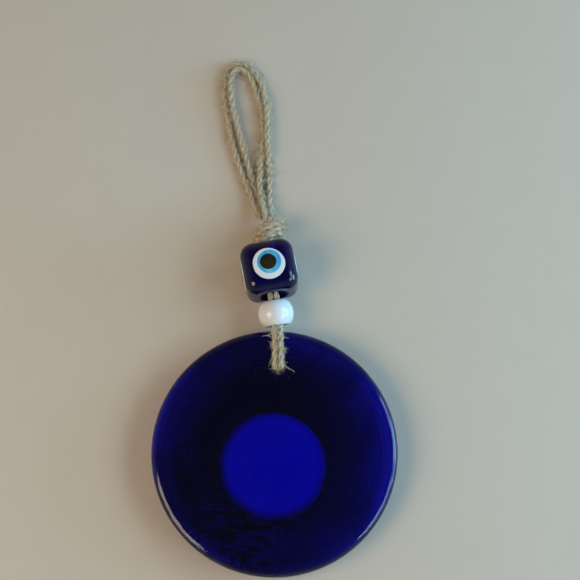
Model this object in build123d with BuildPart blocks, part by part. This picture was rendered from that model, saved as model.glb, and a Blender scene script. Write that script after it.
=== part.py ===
from build123d import *
import os
from math import cos, pi, radians, sin, sqrt, tan

# Evil eye ornament: a pressed cobalt glass disc with a layered eye on its underside, tied with two
# jute twines that pass through its hole, up through a round white bead and a soft glass cube with
# an eye on each side, into one overhand knot and round into a doubled hanging loop.
# It lies flat, eye face down. The origin is under the disc's centre on the surface that it lies on,
# +Y runs from the disc towards the hanging loop and +Z is up. Millimetres.

# Driving dimensions
DISC_D = 80.0
DISC_THICKNESS = 7.5
RIM_ROUND = 2.5
EYE_RISE = 2.3  # how far the eye's flat boss stands out of the disc's underside
EYE_SINK = 0.5  # how deep the boss is fused into the disc
EYE_CENTRE = (-0.8, -4.8)
EYE_WHITE_D = 35.5
EYE_BLUE_D = 23.0
EYE_PUPIL_D = 12.6
EYE_BLUE_DEPTH = 1.2
EYE_PUPIL_DEPTH = 0.7
EYE_EDGE_ROUND = 1.2
HOLE_D = 5.0
HOLE_Y = 27.5
HOLE_ROUND = 0.8

TWINE_D = 1.9
TWINE_GAP = 2.1  # between the centres of the two twines that lie side by side
PACK = 1.0  # half the spacing of the four strands that are packed square in the beads
TWINE_CLEARANCE = 0.35  # between the twines and the disc's back
UNDER_CLEARANCE = 0.3  # and under the disc
RIM_INSET = 0.5  # how far inside the rim the twines turn
SLING_LEAN = 3.0  # degrees that the twines lean to the left on their way to the white bead

BEAD_D = 12.0
BEAD_LENGTH = 8.5
BEAD_BORE_D = 5.4
BEAD_MOUTH = 0.95
BEAD_EDGE_ROUND = 0.5
BEAD_FROM_HOLE = 14.7  # from the disc's hole to the bead's lower mouth
BEAD_LEAN = 10.5
BEAD_PITCH = 8.7
BEAD_MOUTH_Z = 6.05

CUBE = 17.8
CUBE_ROUND = 4.2
CUBE_CENTRE = Vector(-4.3, 60.3, 9.35)
CUBE_LEAN = 13.0
CUBE_BORE_D = 8.4
CUBE_MOUTH = 0.9

DOT_WHITE_D = 10.8
DOT_BLUE_D = 8.0
DOT_PUPIL_D = 5.4
DOT_SINK = 0.7
DOT_BLUE_FLOOR = -0.3
DOT_PUPIL_FLOOR = 0.0
DOT_RISE = 0.45
DOT_EDGE_RISE = 0.1

KNOT_D = 11.5
KNOT_LENGTH = 10.2
KNOT_END_D = 4.0
KNOT_CENTRE = Vector(-5.0, 74.9, 5.9)
KNOT_LEAN = -3.0

# Where the four strands run between the white bead and the knot.
STEM_BEND = Vector(-2.35, 51.1, 7.42)
STEM_IN_CUBE = Vector(-4.3, 60.3, 8.5)
STEM_IN_KNOT = Vector(-5.9, 70.6, 7.4)

# The hanging loop's two twines, from the knot up their left legs, over the top and back down.
OUTER_ROUTE = [
    (-8.2, 80.3, 4.6),
    (-10.6, 86.0, 2.4),
    (-13.6, 93.4, 1.1),
    (-17.0, 101.4, 1.05),
    (-19.7, 109.6, 1.05),
    (-21.9, 119.0, 1.05),
    (-23.1, 127.8, 1.05),
    (-23.2, 133.9, 1.05),
    (-22.6, 138.0, 1.05),
    (-20.4, 140.3, 1.05),
    (-17.2, 140.5, 1.05),
    (-14.4, 138.8, 1.05),
    (-11.9, 135.6, 1.15),
    (-9.6, 130.6, 1.4),
    (-7.9, 123.6, 2.2),
    (-7.5, 116.0, 2.8),
    (-7.1, 108.8, 2.2),
    (-6.3, 101.4, 1.05),
    (-5.8, 93.6, 1.05),
    (-5.5, 86.2, 2.2),
    (-4.2, 80.3, 4.6),
]
INNER_ROUTE = [
    (-6.6, 80.4, 3.3),
    (-8.4, 86.3, 1.5),
    (-11.2, 93.6, 1.1),
    (-13.7, 101.6, 1.3),
    (-16.4, 109.8, 1.6),
    (-19.0, 118.6, 2.0),
    (-21.0, 126.4, 2.3),
    (-21.6, 131.4, 2.4),
    (-21.2, 135.4, 2.4),
    (-19.7, 137.8, 2.2),
    (-17.4, 138.0, 1.8),
    (-15.3, 136.5, 1.4),
    (-13.7, 133.8, 1.1),
    (-12.2, 129.4, 1.05),
    (-9.8, 122.6, 1.05),
    (-8.6, 115.4, 1.05),
    (-8.9, 108.6, 1.1),
    (-9.3, 101.4, 1.4),
    (-9.5, 93.6, 2.4),
    (-8.1, 86.6, 3.7),
    (-6.3, 80.4, 5.6),
]

UNDERSIDE_Z = EYE_RISE
TOP_Z = EYE_RISE + DISC_THICKNESS
SAME_RADIUS = 0.01  # edges this close to a radius are taken as having it


def leaning(degrees, pitch=0.0):
    """A direction in the ground plane that leans to the left of +Y, raised by its pitch."""
    level = cos(radians(pitch))
    return Vector(-sin(radians(degrees)) * level, cos(radians(degrees)) * level, sin(radians(pitch)))


def beside(degrees):
    """The level direction to the right of a leaning one."""
    return Vector(cos(radians(degrees)), sin(radians(degrees)), 0)


def corner_radii(points, share=0.45):
    """The largest arc for each corner that leaves both of its runs a straight stretch."""
    radii = []
    for before, corner, after in zip(points, points[1:], points[2:]):
        run_in = Vector(*corner) - Vector(*before)
        run_out = Vector(*after) - Vector(*corner)
        half_turn = radians(run_in.get_angle(run_out)) / 2
        radii.append(share * min(run_in.length, run_out.length) / tan(half_turn))
    return radii


def save(part, name):
    part.label = name
    export_step(part, f"parts/{name}.step")


def save_twine(part, name, route, radii):
    """Writes a twine and prints its length, its arcs and how its volume compares with its length."""
    share = part.volume / (route.length * pi * TWINE_D**2 / 4)
    arcs = ", ".join(f"{radius:.1f}" for radius in radii)
    print(f"{name}: length {route.length:.1f} mm, volume / section x length {share:.4f}")
    print(f"    arc radii {arcs}")
    save(part, name)


os.makedirs("parts", exist_ok=True)

# Glass disc, with its cord hole near the rim and a shallow seat for the eye in its underside
with BuildPart() as disc_glass:
    with BuildSketch(Plane.XY.offset(UNDERSIDE_Z)):
        Circle(DISC_D / 2)
    extrude(amount=DISC_THICKNESS)
    fillet(disc_glass.edges(), RIM_ROUND)
    with BuildSketch(Plane.XY.offset(UNDERSIDE_Z)):
        with Locations((0, HOLE_Y)):
            Circle(HOLE_D / 2)
    extrude(amount=DISC_THICKNESS, mode=Mode.SUBTRACT)
    hole_edges = disc_glass.edges().filter_by(GeomType.CIRCLE)
    fillet(hole_edges.filter_by(lambda edge: abs(edge.radius - HOLE_D / 2) < SAME_RADIUS), HOLE_ROUND)
    with BuildSketch(Plane.XY.offset(UNDERSIDE_Z)):
        with Locations(EYE_CENTRE):
            Circle(EYE_WHITE_D / 2)
    extrude(amount=EYE_SINK, mode=Mode.SUBTRACT)
save(disc_glass.part, "disc_glass")

# The eye on the disc: white glass, a light blue inlay in it and a dark pupil in that, pressed flush
with BuildPart() as disc_eye_white:
    with BuildSketch():
        with Locations(EYE_CENTRE):
            Circle(EYE_WHITE_D / 2)
    extrude(amount=EYE_RISE + EYE_SINK)
    fillet(disc_eye_white.edges().group_by(Axis.Z)[0], EYE_EDGE_ROUND)
    with BuildSketch():
        with Locations(EYE_CENTRE):
            Circle(EYE_BLUE_D / 2)
    extrude(amount=EYE_BLUE_DEPTH, mode=Mode.SUBTRACT)
save(disc_eye_white.part, "disc_eye_white")

with BuildPart() as disc_eye_blue:
    with BuildSketch():
        with Locations(EYE_CENTRE):
            Circle(EYE_BLUE_D / 2)
    extrude(amount=EYE_BLUE_DEPTH)
    with BuildSketch():
        with Locations(EYE_CENTRE):
            Circle(EYE_PUPIL_D / 2)
    extrude(amount=EYE_PUPIL_DEPTH, mode=Mode.SUBTRACT)
save(disc_eye_blue.part, "disc_eye_blue")

with BuildPart() as disc_eye_pupil:
    with BuildSketch():
        with Locations(EYE_CENTRE):
            Circle(EYE_PUPIL_D / 2)
    extrude(amount=EYE_PUPIL_DEPTH)
save(disc_eye_pupil.part, "disc_eye_pupil")

# Round white bead, threaded just above the disc's rim
hole_centre = Vector(0, HOLE_Y, 0)
bead_axis = leaning(BEAD_LEAN, BEAD_PITCH)
bead_mouth = hole_centre + leaning(SLING_LEAN) * BEAD_FROM_HOLE + Vector(0, 0, BEAD_MOUTH_Z)
bead_centre = bead_mouth + bead_axis * (BEAD_LENGTH / 2)
bead_profile_plane = Plane(
    origin=bead_centre, x_dir=beside(BEAD_LEAN), z_dir=beside(BEAD_LEAN).cross(bead_axis)
)
bead_end_r = sqrt((BEAD_D / 2) ** 2 - (BEAD_LENGTH / 2) ** 2)
bead_bore_r = BEAD_BORE_D / 2
bead_half = BEAD_LENGTH / 2
with BuildPart() as white_bead:
    with BuildSketch(bead_profile_plane):
        with BuildLine():
            ThreePointArc((bead_end_r, -bead_half), (BEAD_D / 2, 0), (bead_end_r, bead_half))
            Polyline(
                (bead_end_r, bead_half),
                (bead_bore_r + BEAD_MOUTH, bead_half),
                (bead_bore_r, bead_half - BEAD_MOUTH),
                (bead_bore_r, BEAD_MOUTH - bead_half),
                (bead_bore_r + BEAD_MOUTH, -bead_half),
                (bead_end_r, -bead_half),
            )
        make_face()
    revolve(axis=Axis(bead_centre, bead_axis))
    rims = white_bead.edges().filter_by(GeomType.CIRCLE)
    fillet(rims.filter_by(lambda edge: abs(edge.radius - bead_end_r) < SAME_RADIUS), BEAD_EDGE_ROUND)
save(white_bead.part, "white_bead")

# Soft glass cube with a wide bore and a round seat for an eye in each of its four sides
cube_axis = leaning(CUBE_LEAN)
cube_right = beside(CUBE_LEAN)
cube_half = CUBE / 2
up = Vector(0, 0, 1)
cube_sides = {"top": up, "right": cube_right, "bottom": -up, "left": -cube_right}
with BuildPart() as cube_bead:
    with BuildSketch(Plane(CUBE_CENTRE - up * cube_half, x_dir=cube_right, z_dir=up)):
        Rectangle(CUBE, CUBE)
    extrude(amount=CUBE)
    fillet(cube_bead.edges(), CUBE_ROUND)
    with BuildSketch(Plane(CUBE_CENTRE - cube_axis * cube_half, x_dir=cube_right, z_dir=cube_axis)):
        Circle(CUBE_BORE_D / 2)
    extrude(amount=CUBE, mode=Mode.SUBTRACT)
    mouths = cube_bead.edges().filter_by(GeomType.CIRCLE)
    chamfer(mouths.filter_by(lambda edge: abs(edge.radius - CUBE_BORE_D / 2) < SAME_RADIUS), CUBE_MOUTH)
    for outwards in cube_sides.values():
        with BuildSketch(Plane(CUBE_CENTRE + outwards * cube_half, x_dir=cube_axis, z_dir=outwards)):
            Circle(DOT_WHITE_D / 2)
        extrude(amount=-DOT_SINK, mode=Mode.SUBTRACT)
save(cube_bead.part, "cube_bead")

# Each side's eye: a white dot with a blue one in it and a dark pupil in that, under one low dome
dome_drop = DOT_RISE - DOT_EDGE_RISE
dome_r = ((DOT_WHITE_D / 2) ** 2 + dome_drop**2) / (2 * dome_drop)


def dome_height(radius):
    return DOT_RISE - dome_r + sqrt(dome_r**2 - radius**2)


def ring_outline(outer_d, floor, inner_d, inner_floor):
    """Half the section of one layer of the eye, from the axis out to its wall and in under the dome."""
    outer, inner = outer_d / 2, inner_d / 2
    middle = (outer + inner) / 2
    Polyline(
        (inner, dome_height(inner)),
        (inner, inner_floor),
        (0, inner_floor),
        (0, floor),
        (outer, floor),
        (outer, dome_height(outer)),
    )
    ThreePointArc(
        (outer, dome_height(outer)), (middle, dome_height(middle)), (inner, dome_height(inner))
    )


for side, outwards in cube_sides.items():
    seat = CUBE_CENTRE + outwards * cube_half
    section = Plane(origin=seat, x_dir=cube_axis, z_dir=cube_axis.cross(outwards))
    spin_axis = Axis(seat, outwards)
    with BuildPart() as cube_eye_white:
        with BuildSketch(section):
            with BuildLine():
                ring_outline(DOT_WHITE_D, -DOT_SINK, DOT_BLUE_D, DOT_BLUE_FLOOR)
            make_face()
        revolve(axis=spin_axis)
    save(cube_eye_white.part, f"cube_eye_{side}_white")
    with BuildPart() as cube_eye_blue:
        with BuildSketch(section):
            with BuildLine():
                ring_outline(DOT_BLUE_D, DOT_BLUE_FLOOR, DOT_PUPIL_D, DOT_PUPIL_FLOOR)
            make_face()
        revolve(axis=spin_axis)
    save(cube_eye_blue.part, f"cube_eye_{side}_blue")
    pupil_r = DOT_PUPIL_D / 2
    with BuildPart() as cube_eye_pupil:
        with BuildSketch(section):
            with BuildLine():
                Polyline(
                    (0, dome_height(0)),
                    (0, DOT_PUPIL_FLOOR),
                    (pupil_r, DOT_PUPIL_FLOOR),
                    (pupil_r, dome_height(pupil_r)),
                )
                ThreePointArc(
                    (pupil_r, dome_height(pupil_r)),
                    (pupil_r / 2, dome_height(pupil_r / 2)),
                    (0, dome_height(0)),
                )
            make_face()
        revolve(axis=spin_axis)
    save(cube_eye_pupil.part, f"cube_eye_{side}_pupil")

# The two twines that sling the disc. Each comes out of the white bead, rounds the rim, lies on the
# disc's back as far as the hole, drops through it and returns under the disc into the same bead.
OVER_Z = TOP_Z + TWINE_CLEARANCE + TWINE_D / 2
UNDER_Z = UNDERSIDE_Z - UNDER_CLEARANCE - TWINE_D / 2
RIM_CORNER = DISC_D / 2 - HOLE_Y - RIM_INSET
FOLD_R = 2.2  # the twines fold this tightly over the hole's edges
MOUTH_R = 2.4  # and bend this tightly at the mouth of the white bead
MOUTH_LEAD = 0.3  # how far out of the bead's mouth the upper lengths bend
STRAND_SPLIT = 0.1  # the lower and the upper lengths of a twine part this far from the bead's middle


def sling_point(along, sideways, height):
    level = hole_centre + leaning(SLING_LEAN) * along + beside(SLING_LEAN) * sideways
    return Vector(level.X, level.Y, height)


def in_bead(sideways, raised, along):
    """A strand's place in the white bead, measured along its bore from halfway."""
    lift = beside(BEAD_LEAN).cross(bead_axis)
    return bead_centre + beside(BEAD_LEAN) * sideways + lift * raised + bead_axis * along


for side, sideways in (("left", -PACK), ("right", PACK)):
    spread = sideways * TWINE_GAP / (2 * PACK)
    sling_points = [
        in_bead(sideways, PACK, -STRAND_SPLIT),
        sling_point(BEAD_FROM_HOLE - MOUTH_LEAD, sideways, BEAD_MOUTH_Z + PACK),
        sling_point(RIM_CORNER, spread, OVER_Z),
        sling_point(0, spread, OVER_Z),
        sling_point(0, spread, UNDER_Z),
        sling_point(RIM_CORNER, spread, UNDER_Z),
        sling_point(BEAD_FROM_HOLE, sideways, BEAD_MOUTH_Z - PACK),
        in_bead(sideways, -PACK, -STRAND_SPLIT),
    ]
    sling_radii = corner_radii(sling_points)
    sling_radii[0] = sling_radii[5] = MOUTH_R
    sling_radii[2] = sling_radii[3] = FOLD_R
    with BuildPart() as sling_twine:
        with BuildLine() as sling_route:
            FilletPolyline(*sling_points, radius=sling_radii)
        sling_wire = sling_route.wire()
        with BuildSketch(Plane(origin=sling_wire @ 0, z_dir=sling_wire % 0)):
            Circle(TWINE_D / 2)
        sweep()
    save_twine(sling_twine.part, f"sling_twine_{side}", sling_wire, sling_radii)

# The same twines' four strands, from the middle of the white bead through the cube to the knot
for side, sideways in (("left", -PACK), ("right", PACK)):
    for level, raised in (("upper", PACK), ("lower", -PACK)):
        offset = beside(CUBE_LEAN) * sideways + up * raised
        stem_points = [
            in_bead(sideways, raised, STRAND_SPLIT),
            STEM_BEND + offset,
            STEM_IN_CUBE + offset,
            STEM_IN_KNOT + offset,
        ]
        stem_radii = corner_radii(stem_points)
        with BuildPart() as stem_strand:
            with BuildLine() as stem_route:
                FilletPolyline(*stem_points, radius=stem_radii)
            stem_wire = stem_route.wire()
            with BuildSketch(Plane(origin=stem_wire @ 0, z_dir=stem_wire % 0)):
                Circle(TWINE_D / 2)
            sweep()
        save_twine(stem_strand.part, f"stem_strand_{side}_{level}", stem_wire, stem_radii)

# Overhand knot that keeps the beads on
knot_axis = leaning(KNOT_LEAN)
knot_section = Plane(
    origin=KNOT_CENTRE, x_dir=beside(KNOT_LEAN), z_dir=beside(KNOT_LEAN).cross(knot_axis)
)
with BuildPart() as knot:
    with BuildSketch(knot_section):
        with BuildLine():
            ThreePointArc(
                (KNOT_END_D / 2, -KNOT_LENGTH / 2), (KNOT_D / 2, 0), (KNOT_END_D / 2, KNOT_LENGTH / 2)
            )
            Polyline(
                (KNOT_END_D / 2, KNOT_LENGTH / 2),
                (0, KNOT_LENGTH / 2),
                (0, -KNOT_LENGTH / 2),
                (KNOT_END_D / 2, -KNOT_LENGTH / 2),
            )
        make_face()
    revolve(axis=Axis(KNOT_CENTRE, knot_axis))
save(knot.part, "knot")

# Hanging loop
for name, hanger_points in (("hanger_twine_outer", OUTER_ROUTE), ("hanger_twine_inner", INNER_ROUTE)):
    hanger_radii = corner_radii(hanger_points)
    with BuildPart() as hanger_twine:
        with BuildLine() as hanger_route:
            FilletPolyline(*hanger_points, radius=hanger_radii)
        hanger_wire = hanger_route.wire()
        with BuildSketch(Plane(origin=hanger_wire @ 0, z_dir=hanger_wire % 0)):
            Circle(TWINE_D / 2)
        sweep()
    save_twine(hanger_twine.part, name, hanger_wire, hanger_radii)
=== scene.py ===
import math

import bmesh
import bpy
from bpy.props import FloatProperty, FloatVectorProperty, IntProperty, PointerProperty
from mathutils import Matrix, Vector, noise


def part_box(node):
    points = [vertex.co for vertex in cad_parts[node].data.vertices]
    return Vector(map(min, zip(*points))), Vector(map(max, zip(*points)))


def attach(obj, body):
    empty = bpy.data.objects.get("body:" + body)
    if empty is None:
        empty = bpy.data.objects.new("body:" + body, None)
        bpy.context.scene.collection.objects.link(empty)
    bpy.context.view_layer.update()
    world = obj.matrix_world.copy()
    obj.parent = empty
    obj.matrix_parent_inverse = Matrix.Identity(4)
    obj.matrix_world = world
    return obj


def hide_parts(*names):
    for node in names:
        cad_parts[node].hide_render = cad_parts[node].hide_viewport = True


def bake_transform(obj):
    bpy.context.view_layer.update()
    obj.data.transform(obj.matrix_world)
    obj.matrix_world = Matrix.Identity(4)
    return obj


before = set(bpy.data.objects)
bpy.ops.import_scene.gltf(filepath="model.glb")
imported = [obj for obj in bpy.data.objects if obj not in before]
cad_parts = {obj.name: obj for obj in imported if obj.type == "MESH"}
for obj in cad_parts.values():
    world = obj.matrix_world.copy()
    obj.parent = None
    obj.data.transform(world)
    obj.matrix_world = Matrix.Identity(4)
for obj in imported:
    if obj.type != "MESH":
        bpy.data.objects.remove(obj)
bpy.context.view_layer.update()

bl_info = {
    "name": "Evil Eye Ornament",
    "version": (1, 0, 0),
    "blender": (4, 5, 0),
    "location": "View3D > Sidebar > Ornament",
    "description": "Builds a glass eye ornament with its beads, knot and jute hanging loop",
    "category": "Add Mesh",
}

# Lengths are in metres, but routes and centres are in millimetres. The disc's centre is over the
# origin, it lies on z = 0, and +Y runs from the disc towards the hanging loop.
MM = 0.001


def mm(*values):
    return Vector([v * MM for v in values])


DISC_LOW, DISC_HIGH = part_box("disc_glass")
EYE_LOW, EYE_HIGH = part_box("disc_eye_white")
EYE_CENTRE = (EYE_LOW + EYE_HIGH) / 2
HOLE = mm(0, 27.5, 0)

# The jute's routes, the control points of its splines
HANGER_ROUTES = {
    "outer": [
        (-8.2, 80.3, 4.6), (-10.6, 86.0, 2.4), (-13.6, 93.4, 1.1), (-17.0, 101.4, 1.05),
        (-19.7, 109.6, 1.05), (-21.9, 119.0, 1.05), (-23.1, 127.8, 1.05), (-23.2, 133.9, 1.05),
        (-22.6, 138.0, 1.05), (-20.4, 140.3, 1.05), (-17.2, 140.5, 1.05), (-14.4, 138.8, 1.05),
        (-11.9, 135.6, 1.15), (-9.6, 130.6, 1.4), (-7.9, 123.6, 2.2), (-7.5, 116.0, 2.8),
        (-7.1, 108.8, 2.2), (-6.3, 101.4, 1.05), (-5.8, 93.6, 1.05), (-5.5, 86.2, 2.2),
        (-4.2, 80.3, 4.6),
    ],
    "inner": [
        (-6.6, 80.4, 3.3), (-8.4, 86.3, 1.5), (-11.2, 93.6, 1.1), (-13.7, 101.6, 1.3),
        (-16.4, 109.8, 1.6), (-19.0, 118.6, 2.0), (-21.0, 126.4, 2.3), (-21.6, 131.4, 2.4),
        (-21.2, 135.4, 2.4), (-19.7, 137.8, 2.2), (-17.4, 138.0, 1.8), (-15.3, 136.5, 1.4),
        (-13.7, 133.8, 1.1), (-12.2, 129.4, 1.05), (-9.8, 122.6, 1.05), (-8.6, 115.4, 1.05),
        (-8.9, 108.6, 1.1), (-9.3, 101.4, 1.4), (-9.5, 93.6, 2.4), (-8.1, 86.6, 3.7),
        (-6.3, 80.4, 5.6),
    ],
}
# Leans from +Y to the left, and how far the white bead tips up
SLING_LEAN = math.radians(3.0)
BEAD_LEAN = math.radians(10.5)
CUBE_LEAN = math.radians(13.0)
KNOT_LEAN = math.radians(-3)
BEAD_PITCH = math.radians(8.7)
BEAD_CENTRE = (-1.535, 46.31, 6.69)
CUBE_CENTRE = (-4.3, 60.3, 9.35)
KNOT_CENTRE = (-5.0, 74.9, 5.9)
PACK = 1.0  # half the spacing of the strands in the beads, in millimetres
SLING_SQUEEZE = 0.98  # the twines' spacing over the disc, against the beads'
HAIRS_END_Y = 0.0400  # the sling grows no loose fibres past here

# The twine's section, as shares of its diameter
PLY_OUT = 0.215
BUNDLE_OUT = 0.175
BUNDLE_SLACK = 0.24
BUNDLE_RADIUS = 0.098
# CREVICE and CREST bound the painted crevice shade: bundles nearer the twine's axis are painted
# darker.
CREVICE, CREST = 0.14, 0.36
HAIR_ROOT = 0.36
PLY_TWIST = -2.6  # turns of a ply's bundles to each turn of the two plies
FLOOR_GAP = 0.00008  # no hair's path comes nearer to the floor

# Azimuth, elevation and roll are in degrees, and the aim is in millimetres
CAMERA_ANGLES = (-1.61, 74.27, 0.62)
CAMERA_AIM = (2.86, 56.55, 0)
CAMERA_DISTANCE = 0.4119
CAMERA_LENS, CAMERA_SENSOR = 74.5, 36.0

# Name, place, width and height, watts and colour
LAMPS = (
    ("window_near", (0.56, -0.19, 0.42), (0.36, 0.30), 1.6, (0.58, 0.82, 0.98)),
    ("window_far", (0.56, 0.21, 0.42), (0.36, 0.30), 1.6, (0.58, 0.82, 0.98)),
    ("low_sky", (0.58, 0.10, 0.13), (0.34, 0.12), 2.6, (0.20, 0.60, 1.0)),
    ("room", (-0.48, -0.22, 0.52), (0.4, 0.4), 2.5, (1.0, 0.82, 0.62)),
)
LAMP_AIM = (0.0, 0.05, 0.0)

GLASS_IOR = 1.5
CLOUD_SCALE = 160.0
MILK_CLOUD = (0.80, 0.83, 0.85)
ON_AXIS = 1e-9


def lean(angle, pitch=0.0):
    level = math.cos(pitch)
    return Vector((-math.sin(angle) * level, math.cos(angle) * level, math.sin(pitch)))


def beside(angle):
    return Vector((math.cos(angle), math.sin(angle), 0))


class UserSizes(bpy.types.PropertyGroup):
    twine_diameter: FloatProperty(
        name="Twine diameter", description="Outside diameter of the jute twine",
        default=0.0019, min=0.0005, unit="LENGTH")
    twist_pitch: FloatProperty(
        name="Twist pitch", description="Length of one full turn of the twine's two plies",
        default=0.0066, min=0.001, unit="LENGTH")
    fibres_per_ply: IntProperty(
        name="Fibre bundles", description="Fibre bundles round each ply", default=11, min=4, max=16)
    hairs: IntProperty(
        name="Stray hairs", description="Stray hairs on a tenth of a metre of twine",
        default=110, min=0)
    ripple: FloatProperty(
        name="Glass ripple", description="Height of the chill marks in the disc's back",
        default=0.00012, min=0.0, unit="LENGTH")
    floor_size: FloatProperty(
        name="Floor size", description="Width of the studio floor", default=3.0, unit="LENGTH")


def chosen(name, description, default):
    return FloatVectorProperty(
        name=name, description=description, subtype="COLOR", default=default)


class UserColours(bpy.types.PropertyGroup):
    cobalt: chosen("Cobalt", "Colour that the blue glass lets through", (0.03, 0.0, 0.96))
    milk: chosen("Milk glass", "Colour of the white glass", (0.86, 0.87, 0.86))
    azure: chosen("Azure glass", "Colour of the light blue rings", (0.020, 0.36, 0.74))
    pupil: chosen("Pupil glass", "Colour of the dark pupils", (0.009, 0.008, 0.004))
    jute_light: chosen("Pale jute", "Colour of the palest fibres", (1.0, 0.98, 0.96))
    jute_dark: chosen("Brown jute", "Colour of the brownest fibres", (0.46, 0.34, 0.23))


def sizes():
    return bpy.context.scene.ornament_sizes


def colours():
    return bpy.context.scene.ornament_colours


# Shader building


class Term:
    """A socket, or a plain number or colour, that Python's operators can be used on."""

    def __init__(self, tree, socket):
        self.tree, self.socket = tree, socket

    def _maths(self, operation, *values):
        return self.tree.node("ShaderNodeMath", {"operation": operation}, dict(enumerate(values)))

    def __add__(self, other):
        return self._maths("ADD", self, other)

    __radd__ = __add__

    def __sub__(self, other):
        return self._maths("SUBTRACT", self, other)

    def __rsub__(self, other):
        return self._maths("SUBTRACT", other, self)

    def __mul__(self, other):
        return self._maths("MULTIPLY", self, other)

    __rmul__ = __mul__

    def clamped(self):
        return self.tree.node("ShaderNodeClamp", {}, {0: self})


class Shader:
    """A new material's node tree, with one method that adds any node."""

    def __init__(self, name):
        self.material = bpy.data.materials.new(name)
        self.material.use_nodes = True
        self.nodes = self.material.node_tree.nodes
        self.links = self.material.node_tree.links
        self.nodes.clear()
        self.output = self.nodes.new("ShaderNodeOutputMaterial")

    def node(self, kind, settings, inputs, out=0):
        made = self.nodes.new(kind)
        for key, value in settings.items():
            setattr(made, key, value)
        for key, value in inputs.items():
            self.feed(made.inputs[key], value)
        return Term(self, made.outputs[out])

    def feed(self, socket, value):
        if isinstance(value, Term):
            self.links.new(value.socket, socket)
        elif socket.type == "RGBA" and len(value) == 3:
            socket.default_value = (*value, 1)
        else:
            socket.default_value = value

    def place(self):
        return self.node("ShaderNodeTexCoord", {}, {}, "Object")

    def apart(self, vector):
        made = self.nodes.new("ShaderNodeSeparateXYZ")
        self.feed(made.inputs[0], vector)
        return [Term(self, s) for s in made.outputs]

    def moved(self, vector, shift=(0, 0, 0), scale=(1, 1, 1), turn=(0, 0, 0)):
        settings = {"vector_type": "POINT"}
        inputs = {"Vector": vector, "Location": shift, "Rotation": turn, "Scale": scale}
        return self.node("ShaderNodeMapping", settings, inputs)

    def noise(self, vector, scale, detail=3.0, roughness=0.5, distortion=0.0):
        inputs = {"Vector": vector, "Scale": scale, "Detail": detail, "Roughness": roughness,
                  "Distortion": distortion}
        return self.node("ShaderNodeTexNoise", {}, inputs)

    def smooth(self, value, low, high, to_low=0.0, to_high=1.0):
        inputs = {0: value, 1: low, 2: high, 3: to_low, 4: to_high}
        return self.node("ShaderNodeMapRange", {"interpolation_type": "SMOOTHSTEP"}, inputs)

    def mix(self, share, a, b):
        return self.node("ShaderNodeMix", {"data_type": "RGBA"}, {0: share, 6: a, 7: b}, 2)

    def larger(self, a, b):
        return a._maths("MAXIMUM", a, b)

    def length(self, vector):
        return self.node("ShaderNodeVectorMath", {"operation": "LENGTH"}, {0: vector}, "Value")

    def attribute(self, name):
        return self.node("ShaderNodeAttribute", {"attribute_name": name}, {}, "Fac")

    def bump(self, height, strength, distance):
        inputs = {"Strength": strength, "Distance": distance, "Height": height}
        return self.node("ShaderNodeBump", {}, inputs)

    def finish(self, settings, volume=None):
        surface = self.node("ShaderNodeBsdfPrincipled", {}, settings)
        self.feed(self.output.inputs["Surface"], surface)
        if volume:
            body = self.node("ShaderNodeVolumeAbsorption", {}, volume)
            self.feed(self.output.inputs["Volume"], body)
        return self.material


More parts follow.
